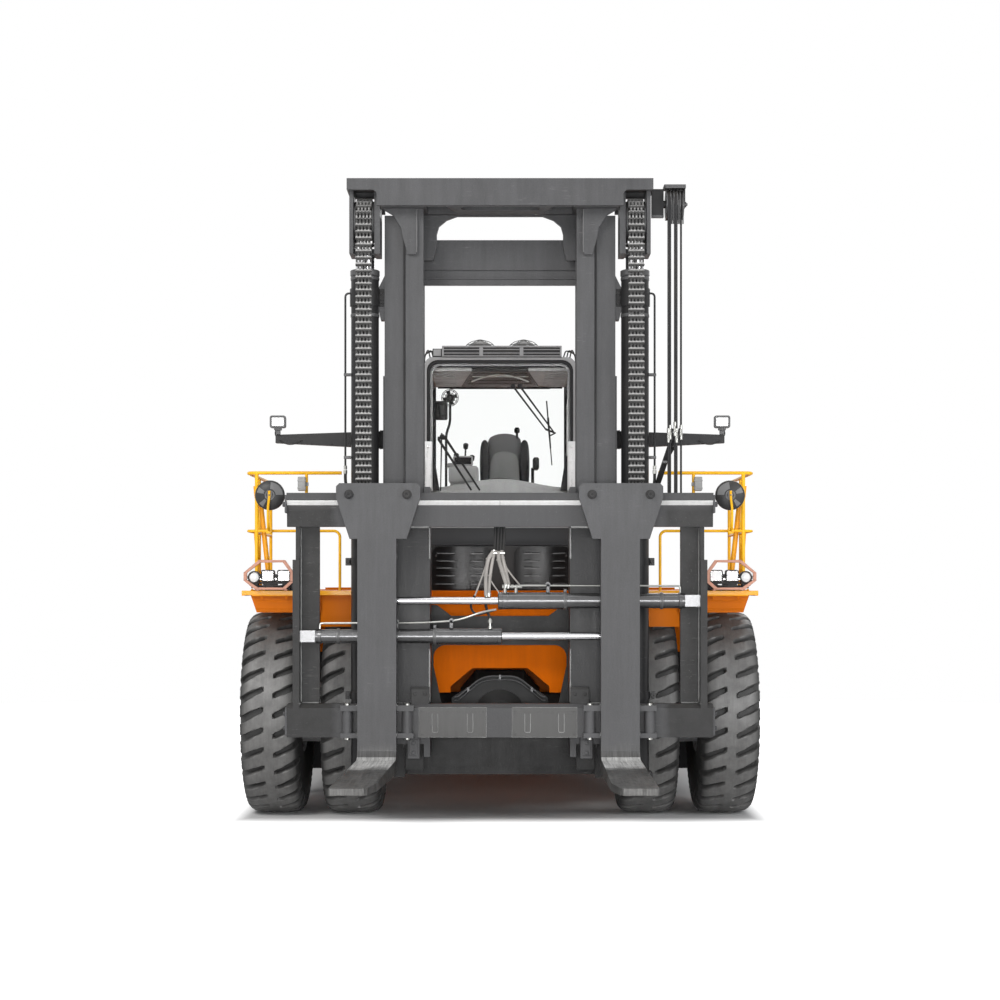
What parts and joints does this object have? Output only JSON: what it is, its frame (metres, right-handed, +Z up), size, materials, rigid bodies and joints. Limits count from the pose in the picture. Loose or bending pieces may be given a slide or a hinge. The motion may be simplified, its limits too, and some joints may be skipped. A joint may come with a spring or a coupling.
{
  "type": "counterbalance forklift truck",
  "caption": "Large electric counterbalanced lift truck with tall open rail mast, sliding forks on a wide carriage, twin front tyres, raised glazed cab and steered rear axle.",
  "frame": {"origin": "ground point under the middle of the overall box at rest", "axes": "+X to the truck's left, -Y towards the fork tips, +Z up"},
  "size_m": [4.19, 10.1, 5.0528],
  "materials": {
    "mast": "satin",
    "dark": "satin",
    "black": "satin",
    "orange": "gloss",
    "orange_deck": "satin",
    "yellow": "gloss",
    "rim": "satin",
    "chrome": "polished",
    "steel": "satin",
    "plastic": "matte",
    "rubber": "matte",
    "tyre": "matte",
    "fabric": "matte",
    "glass": "clear"
  },
  "bodies": {
    "chassis": {"chassis_frame": "orange", "front_axle": "black", "rear_axle": "black", "front_fenders": "orange", "deck_plates": "orange_deck", "side_box_left": "dark", "side_box_right": "dark", "access_steps": "dark", "counterweight": "orange", "power_bay": "orange", "battery_pack": "black", "cab_riser": "orange", "front_covers": "dark", "cab_shell": "dark", "cab_glass": "glass", "cab_seat": "fabric", "cab_controls": "plastic", "roof_unit": "plastic", "handrails": "yellow", "mirrors": "plastic", "front_lights": "plastic"},
    "power_hood": {"power_hood": "orange"},
    "cab_door_left": {"cab_door_left": "dark", "door_glass_left": "glass"},
    "cab_door_right": {"cab_door_right": "dark", "door_glass_right": "glass"},
    "outer_mast": {"outer_mast": "mast", "lift_barrels": "mast", "work_lights": "plastic", "back_chains": "steel"},
    "inner_mast": {"inner_mast": "mast", "lift_rods": "chrome", "chain_sheaves": "steel", "hose_pulley": "plastic", "front_chains": "steel", "mast_hoses": "rubber"},
    "carriage": {"carriage": "mast", "positioner_barrels": "mast"},
    "fork_left": {"fork_left": "mast", "positioner_rod_left": "chrome"},
    "fork_right": {"fork_right": "mast", "positioner_rod_right": "chrome"},
    "tilt_barrel_left": {"tilt_barrel_left": "mast"},
    "tilt_barrel_right": {"tilt_barrel_right": "mast"},
    "tilt_rod_left": {"tilt_rod_left": "chrome"},
    "tilt_rod_right": {"tilt_rod_right": "chrome"},
    "front_wheel_left": {"front_tyres_left": "tyre", "front_rims_left": "rim"},
    "front_wheel_right": {"front_tyres_right": "tyre", "front_rims_right": "rim"},
    "knuckle_left": {"steer_knuckle_left": "black"},
    "knuckle_right": {"steer_knuckle_right": "black"},
    "rear_wheel_left": {"rear_tyre_left": "tyre", "rear_rim_left": "rim"},
    "rear_wheel_right": {"rear_tyre_right": "tyre", "rear_rim_right": "rim"},
    "steering_rod": {"steering_rod": "chrome"},
    "tie_link_left": {"tie_link_left": "black"},
    "tie_link_right": {"tie_link_right": "black"}
  },
  "joints": [
    {"name": "mast_tilt", "type": "hinge", "parent": "chassis", "child": "outer_mast", "pos_m": [0, -1.92, 0.7], "axis": [1, 0, 0], "range_deg": [-10, 5]},
    {"name": "mast_lift", "type": "slide", "parent": "outer_mast", "child": "inner_mast", "axis": [0, 0, 1], "range_m": [-0.1, 1.75], "deforming": ["front_chains", "back_chains", "mast_hoses"]},
    {"name": "carriage_lift", "type": "slide", "parent": "inner_mast", "child": "carriage", "axis": [0, 0, 1], "range_m": [-0.1, 1.75]},
    {"name": "left_fork_slide", "type": "slide", "parent": "carriage", "child": "fork_left", "axis": [1, 0, 0], "range_m": [-0.54, 0.36]},
    {"name": "right_fork_slide", "type": "slide", "parent": "carriage", "child": "fork_right", "axis": [-1, 0, 0], "range_m": [-0.54, 0.36]},
    {"name": "tilt_cylinder_left", "type": "hinge", "parent": "chassis", "child": "tilt_barrel_left", "pos_m": [0.8, -0.28, 2.03], "axis": [1, 0, 0], "range_deg": [-2.2, 1.2]},
    {"name": "tilt_stroke_left", "type": "slide", "parent": "tilt_barrel_left", "child": "tilt_rod_left", "axis": [0, -0.976, 0.2176], "range_m": [-0.3, 0.15]},
    {"name": "tilt_cylinder_right", "type": "hinge", "parent": "chassis", "child": "tilt_barrel_right", "pos_m": [-0.8, -0.28, 2.03], "axis": [1, 0, 0], "range_deg": [-2.2, 1.2]},
    {"name": "tilt_stroke_right", "type": "slide", "parent": "tilt_barrel_right", "child": "tilt_rod_right", "axis": [0, -0.976, 0.2176], "range_m": [-0.3, 0.15]},
    {"name": "front_wheel_left_spin", "type": "hinge", "parent": "chassis", "child": "front_wheel_left", "pos_m": [1.5325, -1.3, 0.835], "axis": [1, 0, 0], "continuous": true},
    {"name": "front_wheel_right_spin", "type": "hinge", "parent": "chassis", "child": "front_wheel_right", "pos_m": [-1.5325, -1.3, 0.835], "axis": [1, 0, 0], "continuous": true},
    {"name": "steer_left", "type": "hinge", "parent": "chassis", "child": "knuckle_left", "pos_m": [1.12, 3.2, 0.835], "axis": [0, 0, 1], "range_deg": [-50, 50]},
    {"name": "rear_wheel_left_spin", "type": "hinge", "parent": "knuckle_left", "child": "rear_wheel_left", "pos_m": [1.5, 3.2, 0.835], "axis": [1, 0, 0], "continuous": true},
    {"name": "tie_link_left_pivot", "type": "hinge", "parent": "knuckle_left", "child": "tie_link_left", "pos_m": [1.12, 3.41, 0.82], "axis": [0, 0, 1], "range_deg": [-51, 51]},
    {"name": "steer_right", "type": "hinge", "parent": "chassis", "child": "knuckle_right", "pos_m": [-1.12, 3.2, 0.835], "axis": [0, 0, 1], "range_deg": [-50, 50]},
    {"name": "rear_wheel_right_spin", "type": "hinge", "parent": "knuckle_right", "child": "rear_wheel_right", "pos_m": [-1.5, 3.2, 0.835], "axis": [1, 0, 0], "continuous": true},
    {"name": "tie_link_right_pivot", "type": "hinge", "parent": "knuckle_right", "child": "tie_link_right", "pos_m": [-1.12, 3.41, 0.82], "axis": [0, 0, 1], "range_deg": [-51, 51]},
    {"name": "steering_stroke", "type": "slide", "parent": "chassis", "child": "steering_rod", "axis": [1, 0, 0], "range_m": [-0.17, 0.17]},
    {"name": "left_door_hinge", "type": "hinge", "parent": "chassis", "child": "cab_door_left", "pos_m": [0.76, 1.395, 3.105], "axis": [0, 0, 1], "range_deg": [0, 90]},
    {"name": "right_door_hinge", "type": "hinge", "parent": "chassis", "child": "cab_door_right", "pos_m": [-0.76, 1.395, 3.105], "axis": [0, 0, -1], "range_deg": [0, 90]},
    {"name": "power_hood_hinge", "type": "hinge", "parent": "chassis", "child": "power_hood", "pos_m": [0, 4.012, 2.675], "axis": [-1, 0, 0], "range_deg": [0, 65]}
  ],
  "couplings": [
    {"joint": "carriage_lift", "follows": "mast_lift", "ratio": 1},
    {"joint": "tilt_cylinder_left", "follows": "mast_tilt", "ratio": 0.2},
    {"joint": "tilt_cylinder_right", "follows": "mast_tilt", "ratio": 0.2},
    {"joint": "tilt_stroke_left", "follows": "mast_tilt", "m_per_rad": 1.66},
    {"joint": "tilt_stroke_right", "follows": "mast_tilt", "m_per_rad": 1.66},
    {"joint": "steer_right", "follows": "steer_left", "ratio": 1},
    {"joint": "tie_link_left_pivot", "follows": "steer_left", "ratio": -1},
    {"joint": "tie_link_right_pivot", "follows": "steer_left", "ratio": -1},
    {"joint": "steering_stroke", "follows": "steer_left", "m_per_rad": -0.18438}
  ]
}
